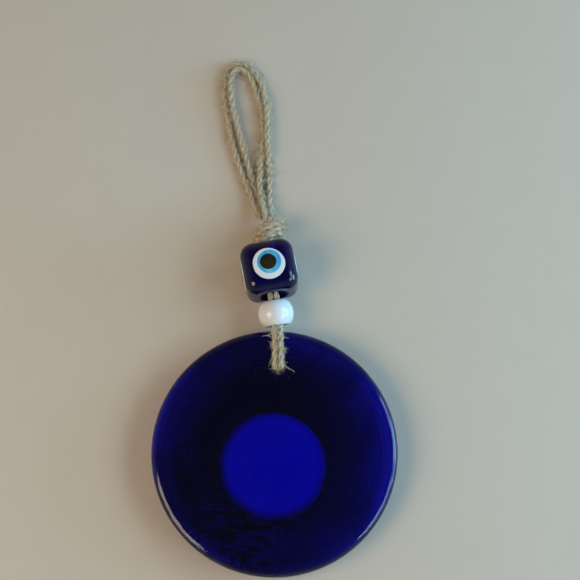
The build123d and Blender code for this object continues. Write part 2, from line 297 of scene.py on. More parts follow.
def disc_cobalt():
    """Deep cobalt glass, clear on its back, with painted shade and painted blue glow on its
    underside, hole and wall.
    """
    s = Shader("disc_cobalt_glass")
    place = s.place()
    x, y, z = s.apart(place)
    flat = s.moved(place, scale=(1, 1, 0))
    # Painted shade: the underside and the hole's mouth take the painted colour, standing in for the
    # shade beneath the glass.
    painted_shade_and_glow_mask = 1 - s.smooth(z, DISC_LOW.z + 0.0002, DISC_LOW.z + 0.0012)
    from_hole = s.length(s.moved(flat, shift=-HOLE))
    painted_shade_and_glow_mask = s.larger(painted_shade_and_glow_mask, 1 - s.smooth(from_hole, 0.0026, 0.0040))
    from_centre = s.length(flat)
    broad = s.noise(flat, 42, 2, 0.5, 0.6)
    flow = s.noise(s.moved(flat, turn=(0, 0, 0.5), scale=(1, 2.4, 0)), 95, 5, 0.62, 2.2)
    rings = s.node("ShaderNodeTexWave", {"wave_type": "RINGS", "rings_direction": "SPHERICAL"}, {
        "Vector": flat, "Scale": 190.0, "Distortion": 5.0, "Detail": 3.0, "Detail Scale": 1.4})
    # Painted light: a painted blue glow near the rim, painted light towards the right, a painted
    # highlight arc at the left and painted glow in streaks over the chill marks.
    painted_rim_glow = s.smooth(from_centre, 0.022, 0.039) * s.smooth(broad, 0.32, 0.62)
    painted_light_right = s.smooth(x - y * 0.35, -0.004, 0.034)
    painted_highlight_arc = s.smooth(from_centre, 0.0320, 0.0345) * (1 - s.smooth(from_centre, 0.0350, 0.0368))
    painted_highlight_arc = painted_highlight_arc * (1 - s.smooth(x, -0.034, -0.024))
    chill = 1 - s.smooth(s.length(s.moved(flat, shift=(0.010, 0.024, 0))), 0.010, 0.022)
    painted_streak_glow = s.smooth(flow, 0.49, 0.53) * chill
    # The sum of the painted blue glow.
    blue = (painted_rim_glow * (0.62 + 0.38 * rings) + painted_light_right * 0.18 + painted_streak_glow * 0.45
            + painted_highlight_arc * 0.55).clamped()
    # Painted shade on the wall, which stops short of the back's edge.
    painted_wall_shade = s.smooth(from_centre, 0.0374, 0.0392)
    painted_shade_and_glow_mask = s.larger(painted_shade_and_glow_mask, painted_wall_shade * (1 - s.smooth(z, DISC_HIGH.z - 0.0014, DISC_HIGH.z - 0.0005)))
    # Painted near black, in streaks over the chill marks and on the wall.
    painted_black = s.larger(chill * (1 - s.smooth(flow, 0.47, 0.50)) * 0.9, painted_wall_shade * 0.85)
    # Painted colours: dark navy painted shade, painted blue glow and painted near black.
    painted_shade_and_glow = s.mix(blue, (0.012, 0.008, 0.055), (0.10, 0.06, 0.50))
    painted_shade_and_glow = s.mix(painted_black, painted_shade_and_glow, (0.006, 0.006, 0.012))
    colour = s.mix(painted_shade_and_glow_mask, (1, 1, 1), painted_shade_and_glow)
    fine = s.noise(place, 420, 3, 0.55)
    wide = s.noise(place, 48, 2, 0.5)
    seeds = s.node("ShaderNodeTexVoronoi", {"feature": "F1"}, {"Vector": flat, "Scale": 190.0})
    pits = 1 - s.smooth(seeds, 0.03, 0.09)
    relief = s.bump(fine * 0.30 + wide + pits * 0.4 + rings * 0.12, 0.20, 0.0006)
    return s.finish(
        {"Base Color": colour, "Roughness": 0.02 + 0.05 * fine, "IOR": GLASS_IOR,
         "Transmission Weight": 1.0, "Normal": relief},
        {"Color": tuple(colours().cobalt), "Density": 440.0})


def cube_cobalt():
    """Cobalt glass so deep that little shows through its thickness."""
    s = Shader("bead_cobalt_glass")
    place = s.place()
    cloud = s.noise(place, 170, 3, 0.6, 0.7)
    colour = s.mix(s.smooth(cloud, 0.35, 0.7), (0.002, 0.001, 0.070), (0.005, 0.002, 0.18))
    relief = s.bump(s.noise(place, 120, 2, 0.5), 0.10, 0.0004)
    return s.finish(
        {"Base Color": colour, "Roughness": 0.02 + 0.04 * cloud, "IOR": GLASS_IOR,
         "Transmission Weight": 0.7, "Normal": relief},
        {"Color": tuple(colours().cobalt), "Density": 420.0})


def opaque_glass(name, colour, second):
    """Opaque coloured glass, faintly cloudy, with a fire-polished skin."""
    s = Shader(name)
    place = s.place()
    cloud = s.noise(place, CLOUD_SCALE, 4, 0.55, 0.8)
    tint = s.mix(s.smooth(cloud, 0.35, 0.68), colour, second)
    skin = s.noise(place, CLOUD_SCALE * 3, 2, 0.5)
    return s.finish(
        {"Base Color": tint, "Roughness": 0.08 + 0.08 * cloud, "Coat Weight": 0.3,
         "Coat Roughness": 0.03, "IOR": 1.45, "Subsurface Weight": 0.15,
         "Subsurface Radius": (1.0, 1.0, 1.0), "Subsurface Scale": 0.0008,
         "Normal": s.bump(skin, 0.12, 0.0002)})


def azure_glass():
    """Light blue glass, paler in random clouds."""
    s = Shader("azure_glass")
    place = s.place()
    cloud = s.noise(place, 130, 3, 0.5, 0.8)
    deep = tuple(colours().azure)
    tint = s.mix(s.smooth(cloud, 0.3, 0.7), deep, (0.18, 0.60, 0.78))
    return s.finish({"Base Color": tint, "Roughness": 0.08 + 0.06 * cloud, "IOR": GLASS_IOR,
                     "Coat Weight": 0.6, "Coat Roughness": 0.04,
                     "Normal": s.bump(cloud, 0.1, 0.0002)})


def jute():
    """Pale fibres, with painted shade between the plies and painted shade, browner, on the left
    above the knot.
    """
    s = Shader("jute")
    place = s.place()
    tone = s.attribute("tone")
    painted_crevice_shade = s.attribute("painted_crevice_shade")
    patch = s.noise(place, 210, 4, 0.6, 0.5)
    fleck = s.noise(place, 1900, 3, 0.6)
    x, y = s.apart(place)[:2]
    # Painted shade: the left legs above the knot are painted browner.
    painted_shade_left = (1 - s.smooth(y, 0.094, 0.122)) * s.smooth(y, 0.080, 0.088)
    painted_shade_left = painted_shade_left * (1 - s.smooth(x, -0.0100, -0.0078))
    mixed = (tone * 0.50 + patch * 0.55 + painted_shade_left * 0.40 - 0.16).clamped()
    pale, dark = tuple(colours().jute_light), tuple(colours().jute_dark)
    fibre = s.mix(s.smooth(mixed, 0.42, 1.05), pale, dark)
    # Painted shade in the crevices, a darker brown.
    shaded = s.mix(painted_crevice_shade * 0.28, fibre, tuple(0.35 * c for c in dark))
    worn = s.mix(s.smooth(fleck, 0.55, 0.75) * 0.6, shaded, (0.95, 0.93, 0.89))
    return s.finish({"Base Color": worn, "Roughness": 0.72 + 0.2 * patch, "Sheen Weight": 0.8,
                     "Sheen Roughness": 0.5, "Subsurface Weight": 0.7,
                     "Subsurface Radius": (1.0, 0.95, 0.9), "Subsurface Scale": 0.0008,
                     "Specular IOR Level": 0.25,
                     "Normal": s.bump(fleck, 0.35, 0.0001)})


def floor_finish():
    s = Shader("pale_floor")
    grain = s.noise(s.place(), 90, 4, 0.6)
    tint = s.mix(grain, (0.62, 0.54, 0.44), (0.66, 0.57, 0.465))
    return s.finish({"Base Color": tint, "Roughness": 0.7})


# Mesh building


def in_scene(name, data):
    made = bpy.data.objects.new(name, data)
    bpy.context.scene.collection.objects.link(made)
    return made


def new_piece(name, mesh, material, body=None, stands_for=()):
    piece = in_scene(name, mesh)
    mesh.materials.clear()
    mesh.materials.append(material)
    if body:
        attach(piece, body)
    if stands_for:
        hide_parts(*stands_for)
    return piece


def smooth_mesh(mesh, angle=35.0):
    mesh.shade_smooth()
    mesh.set_sharp_from_angle(angle=math.radians(angle))
    return mesh


def lathe(profile, segments, origin, along, out, shape=None, closed=False):
    """A solid of revolution, whose profile is (radius, height) pairs."""
    along = Vector(along).normalized()
    out = Vector(out).normalized()
    side = along.cross(out)
    bm = bmesh.new()
    rings = []
    for radius, height in profile:
        if radius < ON_AXIS:
            rings.append([bm.verts.new(origin + along * height)])
            continue
        ring = []
        for k in range(segments):
            turn = 2 * math.pi * k / segments
            r = radius * (shape(turn) if shape else 1.0)
            ring.append(bm.verts.new(
                origin + (out * math.cos(turn) + side * math.sin(turn)) * r + along * height))
        rings.append(ring)
    pairs = list(zip(rings, rings[1:] + rings[:1] if closed else rings[1:]))
    for a, b in pairs:
        for k in range(segments):
            n = (k + 1) % segments
            if len(a) == 1:
                bm.faces.new((a[0], b[n], b[k]))
            elif len(b) == 1:
                bm.faces.new((a[k], a[n], b[0]))
            else:
                bm.faces.new((a[k], a[n], b[n], b[k]))
    bmesh.ops.recalc_face_normals(bm, faces=bm.faces)
    mesh = bpy.data.meshes.new("turned")
    bm.to_mesh(mesh)
    bm.free()
    return mesh


def arc(centre, radius, start, end, count):
    """Profile points on an arc, angles in degrees from the profile's outward direction."""
    points = []
    for k in range(count + 1):
        a = math.radians(start + (end - start) * k / count)
        points.append((centre[0] + radius * math.cos(a), centre[1] + radius * math.sin(a)))
    return points


def steps(a, b, count):
    """Evenly spaced profile points from a up to but not including b."""
    return [(a[0] + (b[0] - a[0]) * k / count, a[1] + (b[1] - a[1]) * k / count)
            for k in range(count)]


def evaluated(item):
    """The mesh that an object's modifiers make."""
    graph = bpy.context.evaluated_depsgraph_get()
    return bpy.data.meshes.new_from_object(item.evaluated_get(graph))


def carved(mesh, cutters):
    """The mesh with each cutter's volume taken out of it."""
    body = in_scene("carving", mesh)
    tools = []
    for cutter in cutters:
        tool = in_scene("cutter", cutter)
        modifier = body.modifiers.new("cut", "BOOLEAN")
        modifier.operation, modifier.solver, modifier.object = "DIFFERENCE", "EXACT", tool
        tools.append(tool)
    result = evaluated(body)
    for item in (body, *tools):
        bpy.data.objects.remove(item)
    return result


# Twine building


def spline_points(route):
    """Points read from the smooth spline that has the route for its control points."""
    curve = bpy.data.curves.new("route", "CURVE")
    curve.dimensions = "3D"
    curve.resolution_u = 12
    spline = curve.splines.new("NURBS")
    spline.points.add(len(route) - 1)
    for point, place in zip(spline.points, route):
        point.co = (*(c * MM for c in place), 1)
    spline.order_u = 3
    spline.use_endpoint_u = True
    holder = bpy.data.objects.new("route", curve)
    mesh = bpy.data.meshes.new_from_object(holder)
    points = [v.co.copy() for v in mesh.vertices]
    bpy.data.objects.remove(holder)
    return points


class GeometryTree:
    """A new Geometry Nodes group with named inputs, with one method that adds any node."""

    def __init__(self, name, inputs):
        self.group = bpy.data.node_groups.new(name, "GeometryNodeTree")
        face = self.group.interface
        face.new_socket("Geometry", in_out="INPUT", socket_type="NodeSocketGeometry")
        for label, kind in inputs.items():
            face.new_socket(label, in_out="INPUT", socket_type=kind)
        face.new_socket("Geometry", in_out="OUTPUT", socket_type="NodeSocketGeometry")
        self.start = self.group.nodes.new("NodeGroupInput")
        self.end = self.group.nodes.new("NodeGroupOutput")

    def given(self, label):
        return self.start.outputs[label]

    def node(self, kind, settings=None, inputs=None, out=0):
        made = self.group.nodes.new(kind)
        for key, value in (settings or {}).items():
            setattr(made, key, value)
        for key, value in (inputs or {}).items():
            self.feed(made.inputs[key], value)
        return made.outputs[out]

    def feed(self, socket, value):
        if isinstance(value, bpy.types.NodeSocket):
            self.group.links.new(value, socket)
        else:
            socket.default_value = value

    def maths(self, operation, *values):
        return self.node("ShaderNodeMath", {"operation": operation}, dict(enumerate(values)))

    def times(self, a, b):
        return self.maths("MULTIPLY", a, b)

    def plus(self, a, b):
        return self.maths("ADD", a, b)

    def vector(self, operation, *values):
        return self.node("ShaderNodeVectorMath", {"operation": operation}, dict(enumerate(values)))

    def scaled(self, vector, amount):
        return self.node("ShaderNodeVectorMath", {"operation": "SCALE"},
                         {0: vector, "Scale": amount})

    def store(self, geometry, name, value, domain="POINT", kind="FLOAT"):
        return self.node("GeometryNodeStoreNamedAttribute", {"data_type": kind, "domain": domain},
                         {"Geometry": geometry, "Name": name, "Value": value})

    def read(self, name, kind="FLOAT"):
        return self.node("GeometryNodeInputNamedAttribute", {"data_type": kind}, {"Name": name})

    def end_with(self, geometry, material):
        real = self.node("GeometryNodeRealizeInstances", {}, {"Geometry": geometry})
        dressed = self.node("GeometryNodeSetMaterial", {}, {"Geometry": real, "Material": material})
        self.feed(self.end.inputs[0], dressed)


def twisted_twine_tree():
    """Two plies laid round each other, each of them a twisted bundle of fibres."""
    t = GeometryTree("twisted_twine", {
        "Diameter": "NodeSocketFloat", "Pitch": "NodeSocketFloat", "Bundles": "NodeSocketInt",
        "Seed": "NodeSocketFloat", "Material": "NodeSocketMaterial"})
    diameter, pitch, seed = t.given("Diameter"), t.given("Pitch"), t.given("Seed")
    path = t.node("GeometryNodeMeshToCurve", {}, {"Mesh": t.given("Geometry")})
    even = t.node("GeometryNodeResampleCurve", {"mode": "LENGTH"},
                  {"Curve": path, "Length": t.times(pitch, 0.055)})
    along = t.node("GeometryNodeSplineParameter", out="Length")
    even = t.store(even, "along", along)
    for name, kind in (("axis_place", "Position"), ("across", "Normal"), ("ahead", "Tangent")):
        even = t.store(even, name, t.node("GeometryNodeInput" + kind), kind="FLOAT_VECTOR")
    bundles = t.given("Bundles")
    copies = t.node("GeometryNodeDuplicateElements", {"domain": "SPLINE"},
                    {"Geometry": even, "Amount": t.times(bundles, 2)})
    index = copies.node.outputs["Duplicate Index"]
    copies = t.store(copies, "bundle", index, domain="CURVE")
    own = t.read("bundle")
    ply = t.maths("FLOORED_MODULO", own, 2.0)
    bundle = t.maths("FLOOR", t.maths("DIVIDE", own, 2.0))
    run = t.read("along")
    turns = t.maths("DIVIDE", run, pitch)
    wander = t.node("ShaderNodeTexNoise", {"noise_dimensions": "2D"}, {
        "Vector": t.node("ShaderNodeCombineXYZ", {}, {
            0: t.times(run, 170.0), 1: t.plus(own, seed)}),
        "Scale": 1.0, "Detail": 2.0})
    slack = t.maths("SUBTRACT", wander, 0.5)
    ply_turn = t.times(t.plus(turns, t.times(ply, 0.5)), math.tau)
    ply_turn = t.plus(ply_turn, seed)
    own_turn = t.plus(t.times(t.maths("DIVIDE", bundle, bundles), math.tau),
                      t.times(turns, PLY_TWIST))
    own_turn = t.plus(own_turn, t.times(slack, 2.6))
    ply_out = t.times(diameter, PLY_OUT)
    loose = t.plus(BUNDLE_OUT, t.times(slack, BUNDLE_SLACK))
    own_out = t.times(diameter, loose)
    right = t.read("across", "FLOAT_VECTOR")
    upward = t.vector("CROSS_PRODUCT", t.read("ahead", "FLOAT_VECTOR"), right)

    def off_axis(wave):
        return t.plus(t.times(ply_out, t.maths(wave, ply_turn)),
                      t.times(own_out, t.maths(wave, own_turn)))

    level, lift = off_axis("COSINE"), off_axis("SINE")
    offset = t.vector("ADD", t.scaled(right, level), t.scaled(upward, lift))
    place = t.vector("ADD", t.read("axis_place", "FLOAT_VECTOR"), offset)
    laid = t.node("GeometryNodeSetPosition", {}, {"Geometry": copies, "Position": place})
    reach = t.maths("SQRT", t.plus(t.times(level, level), t.times(lift, lift)))
    # Painted shade: the deeper a bundle lies in the twine, the darker the jute is painted.
    painted_crevice_shade = t.node("ShaderNodeMapRange", {}, {
        0: t.maths("DIVIDE", reach, diameter), 1: CREVICE, 2: CREST, 3: 1.0, 4: 0.0})
    laid = t.store(laid, "painted_crevice_shade", painted_crevice_shade)
    tone = t.node("FunctionNodeRandomValue", {"data_type": "FLOAT"},
                  {"ID": t.plus(own, 3.0)}, 1)
    laid = t.store(laid, "tone", tone, domain="CURVE")
    section = t.node("GeometryNodeCurvePrimitiveCircle", {}, {
        "Resolution": 5, "Radius": t.times(diameter, BUNDLE_RADIUS)})
    tube = t.node("GeometryNodeCurveToMesh", {}, {
        "Curve": laid, "Profile Curve": section, "Fill Caps": True})
    tube = t.node("GeometryNodeSetShadeSmooth", {}, {"Geometry": tube})
    t.end_with(tube, t.given("Material"))
    return t.group


def stray_hair_tree():
    """Short curling hairs that stand off a twine, none of them below the floor."""
    t = GeometryTree("stray_hairs", {
        "Diameter": "NodeSocketFloat", "Hairs per metre": "NodeSocketFloat",
        "Hair length": "NodeSocketFloat", "Hair radius": "NodeSocketFloat",
        "Lie": "NodeSocketFloat", "Seed": "NodeSocketInt", "Material": "NodeSocketMaterial"})
    diameter, seed = t.given("Diameter"), t.given("Seed")
    path = t.node("GeometryNodeMeshToCurve", {}, {"Mesh": t.given("Geometry")})
    spaced = t.node("GeometryNodeResampleCurve", {"mode": "LENGTH"}, {
        "Curve": path, "Length": t.maths("DIVIDE", 1.0, t.given("Hairs per metre"))})
    ahead = t.node("GeometryNodeInputTangent")
    spaced = t.store(spaced, "ahead", ahead, kind="FLOAT_VECTOR")
    roots = t.node("GeometryNodeCurveToPoints", {"mode": "EVALUATED"}, {"Curve": spaced})

    def chance(low, high, salt):
        kind = "FLOAT_VECTOR" if isinstance(low, tuple) else "FLOAT"
        made = t.group.nodes.new("FunctionNodeRandomValue")
        made.data_type = kind
        for socket in made.inputs:
            if socket.enabled and socket.name == "Min":
                socket.default_value = low
            elif socket.enabled and socket.name == "Max":
                socket.default_value = high
            elif socket.enabled and socket.name == "Seed":
                t.feed(socket, t.plus(seed, float(salt)))
        return next(s for s in made.outputs if s.enabled)

    sideways = t.vector("CROSS_PRODUCT", t.read("ahead", "FLOAT_VECTOR"),
                        chance((-1.0, -1.0, -1.0), (1.0, 1.0, 1.0), 1))
    sideways = t.vector("NORMALIZE", sideways)
    roots = t.node("GeometryNodeSetPosition", {}, {
        "Geometry": roots,
        "Offset": t.scaled(sideways, t.times(diameter, HAIR_ROOT))})
    slant = t.times(chance(-1.0, 1.0, 2), t.given("Lie"))
    lie = t.vector("ADD", t.scaled(t.read("ahead", "FLOAT_VECTOR"), slant), sideways)
    turned = t.node("FunctionNodeAlignRotationToVector", {"axis": "Z"}, {"Vector": lie})
    strand = t.node("GeometryNodeCurvePrimitiveLine", {}, {"End": (0, 0, 1)})
    strand = t.node("GeometryNodeResampleCurve", {"mode": "COUNT"}, {"Curve": strand, "Count": 10})
    length = t.times(t.given("Hair length"), chance(0.35, 1.0, 3))
    hairs = t.node("GeometryNodeInstanceOnPoints", {}, {
        "Points": roots, "Instance": strand, "Rotation": turned, "Scale": length})
    hairs = t.node("GeometryNodeRealizeInstances", {}, {"Geometry": hairs})
    whorl = t.node("ShaderNodeTexNoise", {"noise_dimensions": "3D"}, {
        "Vector": t.vector("ADD", t.node("GeometryNodeInputPosition"),
                           t.node("ShaderNodeCombineXYZ", {}, {0: seed})),
        "Scale": 240.0, "Detail": 1.0}, "Color")
    tip = t.node("GeometryNodeSplineParameter")
    bend = t.scaled(t.vector("SUBTRACT", whorl, (0.5, 0.5, 0.5)),
                    t.times(tip, t.given("Hair length")))
    hairs = t.node("GeometryNodeSetPosition", {}, {
        "Geometry": hairs, "Offset": t.scaled(bend, 1.5)})
    kept = t.vector("MAXIMUM", t.node("GeometryNodeInputPosition"), (-1.0, -1.0, FLOOR_GAP))
    hairs = t.node("GeometryNodeSetPosition", {}, {"Geometry": hairs, "Position": kept})
    hairs = t.store(hairs, "tone", chance(0.0, 0.45, 4))
    section = t.node("GeometryNodeCurvePrimitiveCircle", {}, {
        "Resolution": 3, "Radius": t.given("Hair radius")})
    mesh = t.node("GeometryNodeCurveToMesh", {}, {"Curve": hairs, "Profile Curve": section})
    t.end_with(mesh, t.given("Material"))
    return t.group


def grown(name, points_of, tree, values):
    """The plain mesh that a tree grows on one or more paths."""
    verts, edges = [], []
    for points in points_of:
        first = len(verts)
        verts += points
        edges += [(k, k + 1) for k in range(first, len(verts) - 1)]
    mesh = bpy.data.meshes.new(name)
    mesh.from_pydata(verts, edges, [])
    holder = in_scene(name, mesh)
    modifier = holder.modifiers.new("grow", "NODES")
    modifier.node_group = tree
    named = {item.name: item.identifier for item in tree.interface.items_tree
             if item.in_out == "INPUT"}
    for label, value in values.items():
        modifier[named[label]] = value
    result = evaluated(holder)
    bpy.data.objects.remove(holder)
    return result


def twine_mesh(name, points_of, material, seed):
    values = {"Diameter": sizes().twine_diameter, "Pitch": sizes().twist_pitch,
              "Bundles": sizes().fibres_per_ply, "Seed": float(seed), "Material": material}
    return grown(name, points_of, tree_of("twisted_twine", twisted_twine_tree), values)


def hair_mesh(name, points_of, material, seed, length, share, radius, lie):
    values = {"Diameter": sizes().twine_diameter,
              "Hairs per metre": 10.0 * sizes().hairs * share, "Hair radius": radius,
              "Hair length": length, "Lie": lie, "Seed": seed, "Material": material}
    return grown(name, points_of, tree_of("stray_hairs", stray_hair_tree), values)


def hairy(name, points_of, material, seed, share=1.0):
    """Three kinds of loose fibre on a twine: curling hairs, short fuzz and a few long strays."""
    kinds = (  # name, seed, length, share of the count, radius and slant
        ("hairs", seed, 0.0040, share, 0.00006, 1.6),
        ("fuzz", seed + 70, 0.0023, 9 * share, 0.00007, 2.6),
        ("strays", seed + 140, 0.0085, 0.11 * share, 0.00007, 2.4),
    )
    return [new_piece(f"jute_{name}_{kind}",
                      hair_mesh(f"{name}_{kind}", points_of, material, *how), material, None, ())
            for kind, *how in kinds]


def tree_of(name, build):
    return bpy.data.node_groups.get(name) or build()


def material_of(name, build):
    return bpy.data.materials.get(name) or build()


def milk_glass():
    return opaque_glass("milk_glass", tuple(colours().milk), MILK_CLOUD)


def fused_milk():
    """Milk glass whose fused face darkens to deep blue round its edge, more towards the lower left.
    """
    s = Shader("fused_milk_glass")
    place = s.place()
    z = s.apart(place)[2]
    clear_side = Vector((0.0009, 0.0007, 0))
    flat = s.moved(place, scale=(1, 1, 0))
    centre = Vector((EYE_CENTRE.x, EYE_CENTRE.y, 0)) + clear_side
    drift = s.noise(flat, 130, 3, 0.6, 1.0)
    out = s.length(s.moved(flat, shift=-centre)) + (drift - 0.5) * 0.0012
    radius = (EYE_HIGH.x - EYE_LOW.x) / 2
    darker_edge = s.smooth(out, radius - 0.0034, radius + 0.0006) * s.smooth(z, 0.0024, 0.0027)
    cloud = s.noise(place, CLOUD_SCALE, 4, 0.55, 0.8)
    milk = s.mix(s.smooth(cloud, 0.35, 0.68), tuple(colours().milk), MILK_CLOUD)
    return s.finish(
        {"Base Color": s.mix(darker_edge, milk, (0.01, 0.01, 0.05)), "Roughness": 0.08 + 0.08 * cloud,
         "Coat Weight": 0.6, "Coat Roughness": 0.04, "IOR": GLASS_IOR})


def pupil_glass():
    return opaque_glass("pupil_glass", tuple(colours().pupil), (0.030, 0.024, 0.010))


class ORNAMENT_OT_stage(bpy.types.Operator):
    """Lay the floor and set the lights and the camera"""
    bl_idname = "ornament.stage"
    bl_label = "Studio Stage"

    def execute(self, context):
        half = sizes().floor_size / 2
        mesh = bpy.data.meshes.new("floor")
        mesh.from_pydata([(-half, -half, 0), (half, -half, 0), (half, half, 0), (-half, half, 0)],
                         [], [(0, 1, 2, 3)])
        floor = new_piece("floor", mesh, floor_finish())
        context.scene.world = self.studio()
        context.scene.view_settings.view_transform = "Standard"
        for entry in LAMPS:
            self.lamp(*entry)
        self.camera(context)
        return {"FINISHED"}

    def studio(self):
        """A dim ceiling over a room that is sky blue on the right and warm on the left."""
        world = bpy.data.worlds.new("studio")
        world.use_nodes = True
        nodes, links = world.node_tree.nodes, world.node_tree.links
        place = nodes.new("ShaderNodeTexCoord")
        apart = nodes.new("ShaderNodeSeparateXYZ")
        links.new(place.outputs["Generated"], apart.inputs[0])

        def graded(value, stops):
            ramp = nodes.new("ShaderNodeValToRGB")
            links.new(value, ramp.inputs[0])
            for element, (at, colour) in zip(ramp.color_ramp.elements, stops):
                element.position, element.color = at, (*colour, 1)
            return ramp.outputs[0]

        shifted = nodes.new("ShaderNodeMapRange")
        links.new(apart.outputs[0], shifted.inputs[0])
        shifted.inputs[1].default_value = -1.0
        sides = graded(shifted.outputs[0], ((0.42, (0.66, 0.57, 0.44)), (0.62, (0.52, 0.66, 0.78))))
        ceiling = graded(apart.outputs[2], ((0.35, (1, 1, 1)), (0.92, (0.20, 0.20, 0.21))))
        both = nodes.new("ShaderNodeMix")
        both.data_type, both.blend_type = "RGBA", "MULTIPLY"
        both.inputs[0].default_value = 1.0
        links.new(sides, both.inputs[6])
        links.new(ceiling, both.inputs[7])
        sky = nodes["Background"]
        links.new(both.outputs[2], sky.inputs["Color"])
        sky.inputs["Strength"].default_value = 0.50
        return world

    def lamp(self, name, place, size, power, colour):
        data = bpy.data.lights.new(name, "AREA")
        data.shape, data.size, data.size_y = "RECTANGLE", *size
        data.energy, data.color = power, colour
        lamp = in_scene(name, data)
        lamp.location = place
        beam = Vector(LAMP_AIM) - lamp.location
        lamp.rotation_euler = beam.to_track_quat("-Z", "Y").to_euler()

    def camera(self, context):
        azimuth, elevation, roll = (math.radians(a) for a in CAMERA_ANGLES)
        ahead = Vector((math.sin(azimuth) * math.cos(elevation),
                        math.cos(azimuth) * math.cos(elevation), -math.sin(elevation)))
        right = ahead.cross(Vector((0, 0, 1))).normalized()
        up = right.cross(ahead)
        turned_right = right * math.cos(roll) + up * math.sin(roll)
        turned_up = up * math.cos(roll) - right * math.sin(roll)
        data = bpy.data.cameras.new("camera")
        data.lens, data.sensor_width = CAMERA_LENS, CAMERA_SENSOR
        data.clip_start = 0.01
        camera = in_scene("camera", data)
        turn = Matrix((turned_right, turned_up, -ahead)).transposed()
        eye = mm(*CAMERA_AIM) - ahead * CAMERA_DISTANCE
        camera.matrix_world = Matrix.Translation(eye) @ turn.to_4x4()
        context.scene.camera = camera


class ORNAMENT_OT_disc(bpy.types.Operator):
    """Press the glass disc, with its chill marks, cord hole and layered eye"""
    bl_idname = "ornament.disc"
    bl_label = "Glass Disc"

    def execute(self, context):
        radius, low, high = DISC_HIGH.x, DISC_LOW.z, DISC_HIGH.z
        corner, back_rings = 0.0025, 76
        flat = radius - corner
        profile = steps((0, low), (flat, low), 24)
        profile += arc((flat, low + corner), corner, -90, 0, 12)
        profile += arc((flat, high - corner), corner, 0, 90, 12)[1:]
        profile += [(flat * (1 - k / back_rings), high) for k in range(1, back_rings)]
        profile.append((0, high))
        body = lathe(profile, 256, Vector(), (0, 0, 1), (1, 0, 0))
        for vert in body.vertices:
            if vert.co.z > high - corner * 0.2:
                vert.co.z -= self.dip(vert.co)
        mouth, bore = 0.0008, 0.0025
        trumpet = [(0, low - mouth)]
        trumpet += [(bore + mouth, low - mouth), (bore + mouth, low)]
        trumpet += arc((bore + mouth, low + mouth), mouth, 270, 180, 8)[1:]
        trumpet += arc((bore + mouth, high - mouth), mouth, 180, 90, 8)
        trumpet += [(bore + mouth, high + mouth), (0, high + mouth)]
        cutter = lathe(trumpet, 64, HOLE, (0, 0, 1), (1, 0, 0))
        mesh = smooth_mesh(carved(body, [cutter]), 40)
        new_piece("disc_body", mesh, material_of("disc_cobalt_glass", disc_cobalt), "disc",
                  ["disc_glass"])
        for node, name, build in (("disc_eye_white", "fused_milk_glass", fused_milk),
                                  ("disc_eye_blue", "azure_glass", azure_glass),
                                  ("disc_eye_pupil", "pupil_glass", pupil_glass)):
            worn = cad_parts[node].data.materials
            worn.clear()
            worn.append(material_of(name, build))
        return {"FINISHED"}

    def dip(self, place):
        """How far the pressed back has shrunk below its flat, in wrinkles at the lower left."""
        height = sizes().ripple
        from_marks = Vector((place.x + 0.008, place.y + 0.027, 0)).length
        wrinkled = max(0.0, 1 - from_marks / 0.024)
        wave = noise.noise(Vector((place.x * 190, place.y * 420, 1.7)))
        broad = noise.noise(Vector((place.x * 60, place.y * 60, 5.1)))
        return height * (0.5 + 0.5 * broad + 2.2 * wrinkled * (0.5 + 0.5 * wave))


class ORNAMENT_OT_white_bead(bpy.types.Operator):
    """Turn the round milk glass bead"""
    bl_idname = "ornament.white_bead"
    bl_label = "White Bead"

    def execute(self, context):
        radius, half, bore, mouth = 0.006, 0.00425, 0.0027, 0.00095
        ease_out, ease_in, ease_down = 0.0001, 0.0004, 0.00008
        end = math.sqrt(radius**2 - half**2)
        tip = math.degrees(math.atan2(half, end))
        profile = arc((0, 0), radius, -tip + 3, tip - 3, 36)
        profile += [(end - ease_out, half - ease_down), (end - ease_in, half), (bore + mouth, half)]
        profile += arc((bore + mouth, half - mouth), mouth, 90, 180, 8)[1:]
        profile += steps((bore, half - mouth), (bore, mouth - half), 6)[1:]
        profile += arc((bore + mouth, mouth - half), mouth, 180, 270, 8)
        profile += [(end - ease_in, -half), (end - ease_out, ease_down - half)]
        axis = lean(BEAD_LEAN, BEAD_PITCH)
        mesh = lathe(profile, 96, mm(*BEAD_CENTRE), axis, beside(BEAD_LEAN), closed=True)
        new_piece("white_bead_glass", smooth_mesh(mesh), material_of("milk_glass", milk_glass),
                  "white_bead", ["white_bead"])
        return {"FINISHED"}


